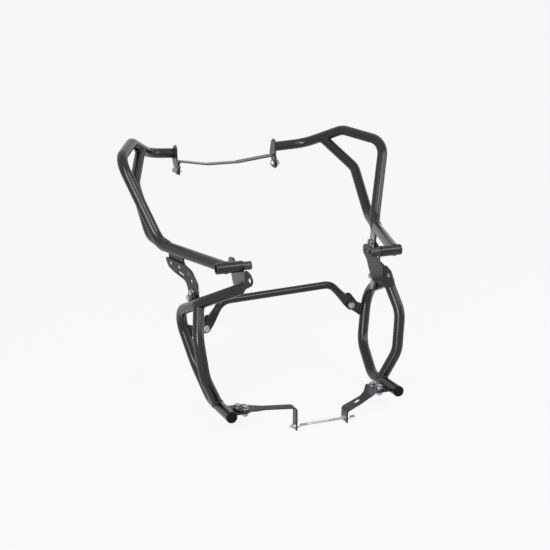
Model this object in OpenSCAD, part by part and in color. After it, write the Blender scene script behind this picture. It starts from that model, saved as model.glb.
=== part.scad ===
// Motorcycle crash bars: a pair of upper and lower tubular guards that bolt around an engine.
// Units are millimetres. +Y is forward, +Z is up and +X is the rider's right.
// The origin is the middle of the line through both engine mount bores.
// Right-hand parts are drawn as they stand and left-hand parts are their mirror images.

/* [Main tubes] */
// Outside diameter of every guard tube
tube_d = 25; // [22:0.1:30]
// Wall thickness of every guard tube
tube_wall = 2.0; // [1.5:0.1:3]
// Root gap that is left under a weld bead
weld_gap = 0.1; // [0.05:0.05:0.3]
// Centreline radius of the tight bends
bend_r = 55; // [45:1:70]
// Centreline radius of the sweeping bends
sweep_r = 75; // [60:1:90]

/* [Upper guard path] */
// Distance from the middle to the end of the right upper tube
flange_right = 131; // [125:1:150]
// Distance from the middle to the end of the left upper tube
flange_left = 142; // [125:1:150]
// Forward reach of the front flange plates
flange_y = 581; // [560:1:600]
// Height of the upper tube at the flange plate
flange_z = 140; // [130:1:150]
// Half width across the upper guards at their widest corner
shoulder_x = 336; // [320:1:350]
// Height of the top corner of the upper guards
crown_z = 193; // [180:1:205]

/* [Engine mount] */
// Outside diameter of the mount sleeve
sleeve_d = 24; // [22:0.1:30]
// Distance from the middle to the inner face of the sleeve
sleeve_inner_x = 160.5; // [150:0.5:165]
// Distance from the middle to the outer face of the right sleeve
sleeve_outer_right = 210; // [208:0.5:225]
// Distance from the middle to the outer face of the left sleeve
sleeve_outer_left = 219.5; // [208:0.5:225]
// Outside diameter of the spacer tube inside the sleeve
spacer_d = 18.5; // [17:0.5:20]
// Bore of the spacer for the mount bolt
spacer_bore = 10.5; // [8.5:0.5:12.5]
// Distance from the middle to the inner face of the right spacer
spacer_inner_right = 136; // [125:0.5:150]
// Distance from the middle to the inner face of the left spacer
spacer_inner_left = 142; // [125:0.5:150]
// Depth of the recess at the outer end of the sleeve
spacer_recess = 5; // [3:0.5:10]
// Diametral clearance between spacer and sleeve
spacer_fit = 0.2; // [0.1:0.05:0.4]

/* [Plates] */
// Thickness of the welded lugs and tabs
tab_t = 5; // [4:0.5:6]
// Thickness of the front flange plates
flange_t = 4; // [3:0.5:6]
// Thickness of the stay brackets
stay_t = 4; // [3:0.5:5]
// Thickness of the bottom brackets and of the front strap
bracket_t = 3; // [2.5:0.5:5]
// Thickness of the link plates
link_t = 5; // [4:0.5:6]
// Width of the front cross strap
strap_w = 25; // [16:1:30]
// Diameter of the frame holes in the link plates
link_hole_d = 11; // [9:0.5:12]

/* [Fasteners] */
// Nominal diameter of the bolts
bolt_d = 8; // [6:1:10]
// Diametral clearance of a bolt in its hole
bolt_fit = 0.8; // [0.4:0.1:1]
// Diametral clearance between a thread and its nut
thread_fit = 0.2; // [0.1:0.1:0.4]
// Diameter of the threaded tie rod
rod_d = 6; // [5:1:8]

/* [Cross tube] */
// Outside diameter of the lower cross tube
cross_d = 18; // [16:0.5:22]
// Wall thickness of the lower cross tube
cross_wall = 2; // [1.5:0.1:3]
// Thickness of its flattened ends
paddle_t = 5; // [4:0.5:6]
// Width of its flattened ends
paddle_w = 24; // [19:1:28]

/* [End plugs] */
// Thickness of the plug head that closes the tube end
plug_head = 3; // [2:0.5:5]
// Diametral clearance of the plug spigot in the tube
plug_fit = 0.4; // [0.2:0.1:0.8]

/* [Hidden] */
fine = 40;

steel = [0.16, 0.16, 0.17];
zinc = [0.72, 0.73, 0.75];
plastic = [0.03, 0.03, 0.03];

tube_bore = tube_d - 2 * tube_wall;
hole_d = bolt_d + bolt_fit;
washer_t = 1.6;
head_h = 5.3;
nut_h = 6.5;
hex_d = 13 / cos(30) * bolt_d / 8;
washer_d = 2 * bolt_d;

// Diameter that a tube gains where it is bent, which also keeps bend and straight faces apart
bend_swell = 0.3;
// Length by which a straight run reaches into the bend beside it
run_in = 1.5;

// Corner points of the tube centrelines on the right-hand side
upper_path = [
  [118, flange_y + 6, flange_z - 2.5],
  [213, flange_y - 16, flange_z + 7],
  [278, 468, crown_z],
  [shoulder_x, 344, 178],
  [270, 253, -7],
  [196, 0, 0]
];
upper_radii = [0, sweep_r, bend_r, bend_r, bend_r, 0];
brace_path = [
  [243, 521, 168],
  [288, 411, 104],
  [280, 305, 3],
  [262, 226, -6]
];
brace_radii = [0, bend_r, bend_r, 0];
lower_path = [
  [149.5, -11.7, -41.2],
  [230, 86, -101],
  [242.5, 226, -162],
  [213, 186.5, -283],
  [202.5, 105, -337.5],
  [200.5, -34, -326]
];
lower_radii = [0, bend_r, bend_r, sweep_r, bend_r, 0];
rear_path = [
  [231, 92, -103.5],
  [245, 55, -169],
  [235, 44, -260],
  [202, 58, -333]
];
rear_radii = [0, sweep_r, sweep_r, 0];

// The plane of the stay bracket: its first bolt, the way it runs aft and the way it runs down
stay_run = unit([-0.2807, -0.9598, 0]);
stay_down = unit([-0.073, 0.021, -0.997]);
stay_out = cross(stay_run, stay_down);
stay_origin = [252, 223, -43.5];
stay_holes = [[0, 0], [35, 1.5], [80, 50], [70, 65]];

// Bolts of the front strap, of the cross tube and of the bottom brackets
strap_bolt = [flange_y - 16, flange_z - 41];
cross_bolt_right = [190, 208, -193];
cross_bolt_left = [-180, 208, -206];
neck_length = 50;
taper = 34;
bottom_z = -326;
bottom_bolts_right = [[166, -7], [157, 13]];
bottom_bolts_left = [[160, -7], [173, 7]];

// Tie rod under the engine
rod_y = -56;
rod_z = -359;
leg_left = 60.5;
leg_right = 59;

// Vector and outline helpers
function unit(v) = v / norm(v);
function turn(a, b) = acos(unit(a) * unit(b));
function setback(path, radii, i) =
  radii[i] * tan(turn(path[i] - path[i - 1], path[i + 1] - path[i]) / 2);
function run_start(path, radii, i) =
  i == 0 ? path[0] : path[i] + unit(path[i + 1] - path[i]) * (setback(path, radii, i) - run_in);
function run_end(path, radii, i) =
  i == len(path) - 2 ? path[i + 1]
  : path[i + 1] - unit(path[i + 1] - path[i]) * (setback(path, radii, i + 1) - run_in);
function short_way(d) = d > 180 ? d - 360 : d < -180 ? d + 360 : d;
function arc_points(c, from, to, n) =
  let (
    s = atan2(from.y - c.y, from.x - c.x),
    d = short_way(atan2(to.y - c.y, to.x - c.x) - s),
    r = norm(from - c)
  )
  [for (k = [0 : n]) c + r * [cos(s + d * k / n), sin(s + d * k / n)]];
function corner_arc(before, p, after, r) =
  let (
    a = unit(before - p),
    b = unit(after - p),
    half = acos(a * b) / 2,
    back = r / tan(half)
  )
  arc_points(p + unit(a + b) * r / sin(half), p + a * back, p + b * back, 5);
function rounded(pts, radii) =
  let (n = len(pts))
  [for (i = [0 : n - 1])
    each corner_arc(pts[(i + n - 1) % n], pts[i], pts[(i + 1) % n], radii[i])];
function bent(path, r) =
  let (n = len(path))
  [for (i = [0 : n - 1])
    each i == 0 || i == n - 1 ? [path[i]] : corner_arc(path[i - 1], path[i], path[i + 1], r)];
function side(path, i) =
  let (
    n = len(path),
    a = i == 0 ? unit(path[1] - path[0]) : unit(path[i] - path[i - 1]),
    b = i == n - 1 ? a : unit(path[i + 1] - path[i]),
    m = unit(a + b)
  )
  [-m.y, m.x] / (m * a);
function strip_outline(path, t) =
  let (n = len(path))
  concat(
    [for (i = [0 : n - 1]) path[i] + side(path, i) * t / 2],
    [for (i = [n - 1 : -1 : 0]) path[i] - side(path, i) * t / 2]
  );
function stay_point(s, t, off = 0) = stay_origin + stay_run * s + stay_down * t - stay_out * off;

// Placing helpers
// Turns the local X, Y and Z directions to three given directions at a given point
module frame(x, y, z, at) {
  multmatrix([
    [x.x, y.x, z.x, at.x],
    [x.y, y.y, z.y, at.y],
    [x.z, y.z, z.z, at.z],
    [0, 0, 0, 1]
  ])
    children();
}

// Stands local +Z along a direction at a point
module along(at, dir) {
  z = unit(dir);
  translate(at)
    rotate([0, acos(z.z), atan2(z.y, z.x)])
      children();
}

// Keeps a part on its own side or mirrors it to the left
module handed(side) {
  if (side == "left") {
    mirror([1, 0, 0])
      children();
  } else {
    children();
  }
}

// Tubes
module straight(from, to, d) {
  along(from, to - from)
    cylinder(h = norm(to - from), d = d, $fn = fine);
}

// One bend of a tube, tangent to the runs before and after it
module elbow(before, corner, after, r, d) {
  a = unit(corner - before);
  b = unit(after - corner);
  n = unit(b - (a * b) * a);
  centre = corner - a * r * tan(turn(a, b) / 2) + n * r;
  frame(-n, a, cross(-n, a), centre)
    rotate_extrude(angle = turn(a, b), $fn = fine)
      translate([r, 0])
        circle(d = d, $fn = fine);
}

// A solid rod that follows a path from one run to another, straight runs joined by tangent bends
module follow(path, radii, d, first = 0, last = 99) {
  end = min(last, len(path) - 2);
  for (i = [first : end])
    straight(run_start(path, radii, i), run_end(path, radii, i), d);
  if (end > first)
    for (i = [first + 1 : end])
      elbow(path[i - 1], path[i], path[i + 1], radii[i], d + bend_swell);
}

// The same path with both ends drawn out, so that a bore cuts clean through
function drawn_out(path, by) =
  let (n = len(path))
  [for (i = [0 : n - 1])
    i == 0 ? path[0] - unit(path[1] - path[0]) * by
    : i == n - 1 ? path[i] + unit(path[i] - path[i - 1]) * by
    : path[i]];

module tube(path, radii) {
  difference() {
    follow(path, radii, tube_d);
    follow(drawn_out(path, 1), radii, tube_bore);
  }
}

// The space that a welded neighbour has to leave free around some runs of a tube
module tube_space(path, radii, first, last) {
  follow(path, radii, tube_d + 2 * weld_gap, first, last);
}

module upper_tube(end_x) {
  color(steel)
    difference() {
      tube(upper_path, upper_radii);
      translate([end_x + weld_gap - 40, flange_y - 40, flange_z - 40])
        cube([40, 80, 80]);
      straight([150, 0, 0], [240, 0, 0], sleeve_d + 2 * weld_gap);
    }
}

module upper_brace() {
  color(steel)
    difference() {
      tube(brace_path, brace_radii);
      tube_space(upper_path, upper_radii, 1, 1);
      tube_space(upper_path, upper_radii, 3, 4);
    }
}

module lower_tube() {
  color(steel)
    difference() {
      tube(lower_path, lower_radii);
      translate([sleeve_inner_x + link_t / 2 + weld_gap - 60, -60, -110])
        cube([60, 120, 120]);
    }
}

module lower_rear_tube() {
  color(steel)
    difference() {
      tube(rear_path, rear_radii);
      tube_space(lower_path, lower_radii, 0, 1);
      tube_space(lower_path, lower_radii, 4, 4);
    }
}

// Engine mount
module mount_sleeve(outer) {
  color(steel)
    difference() {
      straight([sleeve_inner_x, 0, 0], [outer, 0, 0], sleeve_d);
      straight([sleeve_inner_x - 1, 0, 0], [outer + 1, 0, 0], spacer_d + spacer_fit);
    }
}

module mount_spacer(inner, outer) {
  color(steel)
    difference() {
      straight([inner, 0, 0], [outer - spacer_recess, 0, 0], spacer_d);
      straight([inner - 1, 0, 0], [outer, 0, 0], spacer_bore);
    }
}

// Front flange and strap
// Stands a Y-Z outline upright with its inner face at a given X
module upright(x, t) {
  frame([0, 1, 0], [0, 0, 1], [1, 0, 0], [x, 0, 0])
    linear_extrude(t)
      children();
}

module flange_plate(end_x) {
  color(steel)
    upright(end_x - flange_t, flange_t)
      difference() {
        polygon(rounded([
          [flange_y - 19, flange_z + 17],
          [flange_y - 3, flange_z + 22],
          [flange_y + 9, flange_z + 15],
          [flange_y + 22, flange_z - 20],
          [strap_bolt.x + 13, strap_bolt.y - 4],
          [strap_bolt.x + 6, strap_bolt.y - 12],
          [strap_bolt.x - 12, strap_bolt.y - 11],
          [strap_bolt.x - 13, strap_bolt.y + 6],
          [flange_y - 19, flange_z - 16]
        ], [8, 8, 8, 10, 8, 8, 8, 6, 10]));
        translate(strap_bolt)
          circle(d = hole_d, $fn = fine);
      }
}

// A flat strip that bows forward in plan, dips in the middle and turns down at both ends
module front_strap() {
  mid = (flange_right - flange_left) / 2;
  tab_x = (flange_right + flange_left) / 2 - flange_t - bracket_t / 2;
  low = strap_bolt.y - 12;
  color(steel)
    translate([mid, 0, 0])
      difference() {
        intersection() {
          frame([1, 0, 0], [0, 0, 1], [0, -1, 0], [0, flange_y + 79, 0])
            linear_extrude(140)
              polygon(strip_outline(bent([
                [-tab_x, low],
                [-tab_x, strap_bolt.y + 23.5],
                [-40, strap_bolt.y + 1.5],
                [40, strap_bolt.y + 1.5],
                [tab_x, strap_bolt.y + 23.5],
                [tab_x, low]
              ], 6), bracket_t));
          translate([0, 0, low - 5])
            linear_extrude(60)
              polygon(strip_outline([
                [-tab_x - 10, strap_bolt.x],
                [-tab_x + 10, strap_bolt.x],
                [-40, strap_bolt.x + 41],
                [40, strap_bolt.x + 41],
                [tab_x - 10, strap_bolt.x],
                [tab_x + 10, strap_bolt.x]
              ], strap_w));
        }
        straight([-200, strap_bolt.x, strap_bolt.y], [200, strap_bolt.x, strap_bolt.y], hole_d);
      }
}

// Stay between the upper and the lower guard
// Lays an outline in the plane of the stay bracket, outwards from a given offset
module on_stay(off, t) {
  frame(stay_run, stay_down, stay_out, stay_point(0, 0, off))
    linear_extrude(t)
      children();
}

module stay_hole(at) {
  translate(at)
    circle(d = hole_d, $fn = fine);
}

module slot(from, to, d) {
  translate(from)
    circle(d = d, $fn = fine);
  translate(to)
    circle(d = d, $fn = fine);
  translate(from)
    rotate(atan2(to.y - from.y, to.x - from.x))
      translate([0, -d / 2 + 0.06])
        square([norm(to - from), d - 0.12]);
}

module stay_bracket() {
  color(steel)
    on_stay(0, stay_t)
      difference() {
        polygon(rounded([
          [-25, -11],
          [48, -9],
          [60, -8],
          [84, 0],
          [98, 18],
          [106, 31],
          [90, 61],
          [78, 76],
          [58, 72],
          [64, 46],
          [56, 29],
          [10, 19],
          [-12, 11]
        ], [5, 20, 20, 20, 40, 12, 20, 8, 8, 14, 14, 40, 8]));
        for (p = stay_holes)
          stay_hole(p);
        slot([29, 14], [49, 18], 6);
        slot([65, 4], [71, 13], 7);
        translate([80, 24])
          circle(d = 10, $fn = fine);
      }
}

module upper_tab() {
  color(steel)
    difference() {
      on_stay(tab_t, tab_t)
        difference() {
          polygon(rounded([
            [-14, -40],
            [46, -38],
            [46, 11],
            [-13, 9]
          ], [2, 2, 8, 8]));
          for (i = [0, 1])
            stay_hole(stay_holes[i]);
        }
      tube_space(upper_path, upper_radii, 3, 4);
    }
}

module lower_stay_tab() {
  color(steel)
    difference() {
      on_stay(tab_t, tab_t)
        difference() {
          polygon(rounded([
            [56, 56],
            [74, 38],
            [92, 42],
            [100, 74],
            [84, 96],
            [52, 100]
          ], [8, 8, 8, 3, 2, 2]));
          for (i = [2, 3])
            stay_hole(stay_holes[i]);
        }
      tube_space(lower_path, lower_radii, 1, 2);
    }
}

// Link plates: a flat plate with a folded wing for the frame bolt
module link_plate(outline, radii, eye, fold_y, flare, wing, wing_radii, wing_hole) {
  face = sleeve_inner_x - link_t / 2;
  color(steel)
    union() {
      upright(face, link_t)
        difference() {
          polygon(rounded(outline, radii));
          translate(eye)
            circle(d = link_hole_d, $fn = fine);
        }
      frame([sin(flare), -cos(flare), 0], [0, 0, 1], [-cos(flare), -sin(flare), 0],
            [sleeve_inner_x, fold_y, 0] + [cos(flare), sin(flare), 0] * link_t / 2)
        linear_extrude(link_t)
          difference() {
            polygon(rounded(wing, wing_radii));
            translate(wing_hole)
              circle(d = link_hole_d, $fn = fine);
          }
    }
}

module link_plate_right() {
  link_plate(
    [[-22, -27], [16, -19], [46, -4], [60, 2], [80, -2], [84, -20], [62, -33], [48, -54],
     [24, -76], [-22, -72]],
    [0.5, 20, 12, 12, 12, 14, 12, 12, 10, 0.5],
    [64, -15], -22, 17,
    [[-1, -28], [5, -25], [22, -35], [30, -51], [36, -67], [20, -71], [-1, -72]],
    [0.5, 4, 10, 12, 6, 6, 0.5],
    [15, -46]
  );
}

module link_plate_left() {
  mirror([1, 0, 0])
    link_plate(
      [[-20, -5], [14, -18], [46, -8], [62, 2], [84, -1], [92, -18], [70, -34], [60, -52],
       [44, -66], [-4, -56], [-20, -44]],
      [0.5, 16, 12, 12, 12, 12, 12, 12, 12, 12, 0.5],
      [72, -15], -20, -24,
      [[-1, -5], [4, -5], [15, -12], [22, -24], [16, -36], [4, -43], [-1, -44]],
      [0.5, 4, 8, 12, 8, 4, 0.5],
      [12, -24]
    );
}

// End plugs
module end_plug() {
  last = len(lower_path) - 1;
  tip = lower_path[last];
  out = unit(tip - lower_path[last - 1]);
  color(plastic)
    union() {
      straight(tip + out * 0.1, tip + out * plug_head, tube_d);
      straight(tip - out * 14, tip + out * plug_head, tube_bore - plug_fit);
    }
}

// Lower cross tube
// Lays a plate in an X-Z plane, from one Y face backwards
module facing_aft(y, t) {
  frame([1, 0, 0], [0, 0, 1], [0, -1, 0], [0, y, 0])
    linear_extrude(t)
      children();
}

module cross_tab(bolt, rise, side) {
  x = abs(bolt.x);
  color(steel)
    handed(side)
      difference() {
        facing_aft(bolt.y + tab_t + paddle_t / 2, tab_t)
          difference() {
            polygon(rounded([
              [x - 14, bolt.z + 29],
              [x - 2, bolt.z + 32],
              [x + 19, bolt.z + 5],
              [228, bolt.z + 13 - rise],
              [228, bolt.z - 22 - rise],
              [x + 4, bolt.z - 14],
              [x - 12, bolt.z - 4]
            ], [6, 10, 10, 2, 2, 6, 8]));
            translate([x, bolt.z])
              circle(d = hole_d, $fn = fine);
          }
        tube_space(lower_path, lower_radii, 1, 2);
      }
}

// One flattened end: it widens from the round tube as it thins out to a paddle with one hole
module paddle(corner, bolt) {
  z = unit([bolt.x - corner.x, 0, bolt.z - corner.z]);
  y = [0, 1, 0];
  frame(cross(y, z), y, z, bolt - z * neck_length)
    difference() {
      intersection() {
        frame([0, 1, 0], [0, 0, 1], [1, 0, 0], [-30, 0, 0])
          linear_extrude(60)
            polygon([
              [-cross_d / 2 - 0.1, 0],
              [cross_d / 2 + 0.1, 0],
              [cross_d / 2 + 0.1, 1],
              [paddle_t / 2, taper],
              [paddle_t / 2, neck_length + 20],
              [-paddle_t / 2, neck_length + 20],
              [-paddle_t / 2, taper],
              [-cross_d / 2 - 0.1, 1]
            ]);
        union() {
          cylinder(h = taper, d1 = cross_d + bend_swell, d2 = paddle_w, $fn = fine);
          frame([1, 0, 0], [0, 0, 1], [0, -1, 0], [0, 4, 0])
            linear_extrude(8)
              union() {
                translate([-paddle_w / 2 + 0.2, taper - 2])
                  square([paddle_w - 0.4, neck_length - taper + 2]);
                translate([0, neck_length])
                  circle(d = paddle_w - 0.4, $fn = fine);
              }
        }
      }
      straight([0, -20, neck_length], [0, 20, neck_length], hole_d);
    }
}

// Where the round tube ends and its flattened end begins
function neck(corner, bolt, by) =
  bolt - unit([bolt.x - corner.x, 0, bolt.z - corner.z]) * by;

module cross_tube() {
  left = [-140, cross_bolt_left.y, -143.5];
  right = [135, cross_bolt_right.y, -134];
  radii = [0, 35, 35, 0];
  outer = [neck(left, cross_bolt_left, neck_length - run_in), left,
           right, neck(right, cross_bolt_right, neck_length - run_in)];
  inner = [neck(left, cross_bolt_left, neck_length + 2), left,
           right, neck(right, cross_bolt_right, neck_length + 2)];
  color(steel)
    difference() {
      union() {
        follow(outer, radii, cross_d);
        paddle(left, cross_bolt_left);
        paddle(right, cross_bolt_right);
      }
      follow(inner, radii, cross_d - 2 * cross_wall);
    }
}

// Bottom tabs, brackets and tie rod
module bottom_holes(at) {
  for (p = at)
    translate(p)
      circle(d = hole_d, $fn = fine);
}

module bottom_tab(holes) {
  color(steel)
    difference() {
      translate([0, 0, bottom_z - tab_t])
        linear_extrude(tab_t)
          difference() {
            polygon(rounded([
              [145, 14],
              [150, 25],
              [198, 30],
              [198, -18],
              [160, -19],
              [147, -12]
            ], [8, 8, 3, 3, 8, 8]));
            bottom_holes(holes);
          }
      tube_space(lower_path, lower_radii, 4, 4);
    }
}

// Bends a strip in an X-Z profile and trims it to a plan outline
module bent_strip(profile, r, outline, radii) {
  intersection() {
    frame([1, 0, 0], [0, 0, 1], [0, -1, 0], [0, 60, 0])
      linear_extrude(160)
        polygon(strip_outline(bent(profile, r), bracket_t));
    translate([0, 0, rod_z - 30])
      linear_extrude(80)
        polygon(rounded(outline, radii));
  }
}

// The narrow bracket: a flat foot, a strip that runs inboard and a leg for the tie rod
module bottom_bracket_left() {
  mid_z = bottom_z + bracket_t / 2;
  color(steel)
    mirror([1, 0, 0])
      difference() {
        bent_strip(
          [[185, mid_z], [140, mid_z], [leg_left, mid_z + 10], [leg_left, rod_z - 9]], 6,
          [[170, -18], [184, -2], [182, 16], [166, 19], [145, 10], [122, -9],
           [leg_left - 6, rod_y + 10], [leg_left - 6, rod_y - 10], [122, -29], [152, -22]],
          [6, 8, 6, 8, 10, 10, 0.5, 0.5, 10, 10]
        );
        translate([0, 0, bottom_z - 1])
          linear_extrude(20)
            bottom_holes(bottom_bolts_left);
        straight([leg_left - 10, rod_y, rod_z], [leg_left + 10, rod_y, rod_z], rod_d + bolt_fit);
      }
}

// The wide bracket: a flat foot, a strip that runs down to the leg and a slot in it
module bottom_bracket_right() {
  mid_z = bottom_z + bracket_t / 2;
  color(steel)
    difference() {
      bent_strip(
        [[185, mid_z], [128, mid_z], [leg_right, mid_z - 16], [leg_right, rod_z - 9]], 6,
        [[176, -16], [174, 8], [164, 24], [146, 25], [125, -9], [110, -22],
         [leg_right - 6, rod_y + 19], [leg_right - 6, rod_y - 13],
         [102, -54], [134, -40], [156, -20]],
        [8, 8, 8, 8, 12, 12, 0.5, 0.5, 14, 14, 10]
      );
      translate([0, 0, bottom_z - 40])
        linear_extrude(60) {
          bottom_holes(bottom_bolts_right);
          slot([90, -41], [99, -36], 8);
        }
      straight([leg_right - 10, rod_y, rod_z], [leg_right + 10, rod_y, rod_z], rod_d + bolt_fit);
    }
}

module tie_rod() {
  color(zinc)
    straight([-leg_left - 14, rod_y, rod_z], [leg_right + 22, rod_y, rod_z], rod_d);
}

// Fasteners
// A ring of a given height whose foot stands at a point
module ring(at, dir, od, id, h, sides = fine) {
  along(at, dir)
    difference() {
      cylinder(h = h, d = od, $fn = sides);
      translate([0, 0, -1])
        cylinder(h = h + 2, d = id, $fn = fine);
    }
}

// Both faces of both legs of the bottom brackets: [X, way out of the face]
leg_faces = [
  [leg_right + bracket_t / 2, 1],
  [leg_right - bracket_t / 2, -1],
  [-leg_left + bracket_t / 2, 1],
  [-leg_left - bracket_t / 2, -1]
];
rod_washer_t = 1.2;

module rod_washers() {
  color(zinc)
    for (f = leg_faces)
      ring([f.x, rod_y, rod_z], [f.y, 0, 0], 2.2 * rod_d, rod_d + bolt_fit, rod_washer_t);
}

module rod_nuts() {
  nut_d = 10 / cos(30) * rod_d / 6;
  color(zinc)
    for (f = leg_faces)
      ring([f.x + f.y * rod_washer_t, rod_y, rod_z], [f.y, 0, 0], nut_d, rod_d + thread_fit, 5, 6);
}

// Every bolted joint: [point on the face under the head, way the head faces, grip, side]
strap_grip = flange_t + bracket_t;
paddle_y = cross_bolt_right.y - paddle_t / 2;
joints = [
  [[flange_right - strap_grip, strap_bolt.x, strap_bolt.y], [-1, 0, 0], strap_grip, "right"],
  [[flange_left - strap_grip, strap_bolt.x, strap_bolt.y], [-1, 0, 0], strap_grip, "left"],
  for (p = stay_holes) for (s = ["right", "left"])
    [stay_point(p.x, p.y, -stay_t), stay_out, stay_t + tab_t, s],
  for (p = bottom_bolts_right)
    [[p.x, p.y, bottom_z + bracket_t], [0, 0, 1], bracket_t + tab_t, "right"],
  for (p = bottom_bolts_left)
    [[p.x, p.y, bottom_z + bracket_t], [0, 0, 1], bracket_t + tab_t, "left"],
  [[cross_bolt_right.x, paddle_y, cross_bolt_right.z], [0, -1, 0], paddle_t + tab_t, "right"],
  [[-cross_bolt_left.x, paddle_y, cross_bolt_left.z], [0, -1, 0], paddle_t + tab_t, "left"]
];

module bolts() {
  color(zinc)
    for (j = joints)
      handed(j[3])
        union() {
          along(j[0] + j[1] * washer_t, j[1])
            cylinder(h = head_h, d = hex_d, $fn = 6);
          along(j[0] + j[1] * (washer_t + 1), -j[1])
            cylinder(h = j[2] + 2 * washer_t + nut_h + 3, d = bolt_d, $fn = fine);
        }
}

module nuts() {
  color(zinc)
    for (j = joints)
      handed(j[3])
        ring(j[0] - j[1] * (j[2] + washer_t), -j[1], hex_d, bolt_d + thread_fit, nut_h, 6);
}

module washers() {
  color(zinc)
    for (j = joints)
      handed(j[3]) {
        ring(j[0], j[1], washer_d, hole_d, washer_t);
        ring(j[0] - j[1] * j[2], -j[1], washer_d, hole_d, washer_t);
      }
}

handed("left") upper_tube(flange_left);  // upper_tube_left
upper_tube(flange_right);  // upper_tube_right
handed("left") upper_brace();  // upper_brace_left
upper_brace();  // upper_brace_right
handed("left") mount_sleeve(sleeve_outer_left);  // mount_sleeve_left
mount_sleeve(sleeve_outer_right);  // mount_sleeve_right
handed("left") mount_spacer(spacer_inner_left, sleeve_outer_left);  // mount_spacer_left
mount_spacer(spacer_inner_right, sleeve_outer_right);  // mount_spacer_right
handed("left") flange_plate(flange_left);  // flange_plate_left
flange_plate(flange_right);  // flange_plate_right
front_strap();
handed("left") upper_tab();  // upper_tab_left
upper_tab();  // upper_tab_right
handed("left") stay_bracket();  // stay_bracket_left
stay_bracket();  // stay_bracket_right
handed("left") lower_stay_tab();  // lower_stay_tab_left
lower_stay_tab();  // lower_stay_tab_right
link_plate_left();
link_plate_right();
handed("left") lower_tube();  // lower_tube_left
lower_tube();  // lower_tube_right
handed("left") lower_rear_tube();  // lower_rear_tube_left
lower_rear_tube();  // lower_rear_tube_right
handed("left") end_plug();  // end_plug_left
end_plug();  // end_plug_right
cross_tab(cross_bolt_left, -2, "left");  // cross_tab_left
cross_tab(cross_bolt_right, 17, "right");  // cross_tab_right
cross_tube();
handed("left") bottom_tab(bottom_bolts_left);  // bottom_tab_left
bottom_tab(bottom_bolts_right);  // bottom_tab_right
bottom_bracket_left();
bottom_bracket_right();
tie_rod();
rod_nuts();
rod_washers();
bolts();
nuts();
washers();
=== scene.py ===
"""Looks of a pair of motorcycle crash bars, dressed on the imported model.

The guards are bent steel tubes with coped, welded ends, laser-cut plates, zinc-plated fasteners
and a steel tie rod. Lengths are written in millimetres, as on a drawing, and become metres where
a mesh is made. X points to the rider's right, Y forward and Z up.
"""

import logging
import math
from dataclasses import dataclass
from enum import Enum
from typing import Callable, Sequence

import bmesh
import bpy
import numpy as np
from mathutils import Matrix, Vector


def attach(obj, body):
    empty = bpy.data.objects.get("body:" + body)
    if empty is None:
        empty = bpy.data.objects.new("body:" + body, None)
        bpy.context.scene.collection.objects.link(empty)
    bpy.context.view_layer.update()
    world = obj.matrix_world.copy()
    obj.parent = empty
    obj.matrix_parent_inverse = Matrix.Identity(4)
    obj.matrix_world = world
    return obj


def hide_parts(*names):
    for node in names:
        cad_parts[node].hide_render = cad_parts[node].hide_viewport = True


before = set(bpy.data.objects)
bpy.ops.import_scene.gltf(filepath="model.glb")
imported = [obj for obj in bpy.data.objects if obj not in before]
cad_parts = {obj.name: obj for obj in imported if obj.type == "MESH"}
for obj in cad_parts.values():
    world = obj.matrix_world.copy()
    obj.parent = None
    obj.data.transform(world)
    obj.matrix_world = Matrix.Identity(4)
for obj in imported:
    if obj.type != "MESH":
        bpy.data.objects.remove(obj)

LOG = logging.getLogger("crash_bars")
MM = 0.001
RNG_SEED = 7
MERGE_DISTANCE = 1e-6
FLAT_ANGLE, EDGE_ANGLE = math.radians(0.5), math.radians(40)
TUBE_CREASE, HEX_CREASE, ROUND_CREASE = 38.0, 28.0, 50.0


class Slot(Enum):
    """The material slots of the record."""

    POWDER = "powder_coat"
    SPACER = "spacer_steel"
    ZINC = "zinc_fastener"
    ROD = "rod_steel"
    PLUG = "plug_plastic"


class Side(Enum):
    """The two sides of the motorcycle, as the sign of X."""

    RIGHT = 1
    LEFT = -1

    @property
    def word(self) -> str:
        """The side's name as the CAD nodes have it."""
        return self.name.lower()


# Node trees


class NodeSheet:
    """A node tree whose nodes are laid down one after another."""

    def __init__(self, tree: bpy.types.NodeTree) -> None:
        """Takes an empty tree."""
        self.tree = tree
        self.count = 0

    def add(self, kind: str, settings: dict[str, object] | None = None, **values: object) -> bpy.types.Node:
        """Adds one node.

        Args:
            kind: the node's type.
            settings: its properties.
            values: input values by socket name, with spaces written as underscores.

        Returns:
            The new node.
        """
        node = self.tree.nodes.new(kind)
        node.location = (240 * (self.count % 6), -260 * (self.count // 6))
        self.count += 1
        for key, value in (settings or {}).items():
            setattr(node, key, value)
        for key, value in values.items():
            node.inputs[key.replace("_", " ")].default_value = value
        return node

    def link(self, source: bpy.types.NodeSocket, target: bpy.types.NodeSocket) -> None:
        """Joins an output to an input."""
        self.tree.links.new(source, target)

    def join(self, *wires: tuple[bpy.types.Node, str | int, bpy.types.Node, str | int]) -> None:
        """Joins outputs to inputs, each given by its node and its socket's name or number."""
        for source, out, target, into in wires:
            self.link(source.outputs[out], target.inputs[into])

    def math(self, operation: str, *values: bpy.types.NodeSocket | float) -> bpy.types.NodeSocket:
        """Adds one step of arithmetic.

        Args:
            operation: the operation.
            values: its inputs in order, sockets or numbers.

        Returns:
            The socket with the result.
        """
        node = self.add("ShaderNodeMath", {"operation": operation})
        for slot, value in zip(node.inputs, values):
            if isinstance(value, bpy.types.NodeSocket):
                self.link(value, slot)
            else:
                slot.default_value = value
        return node.outputs[0]


# Finishes


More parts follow.
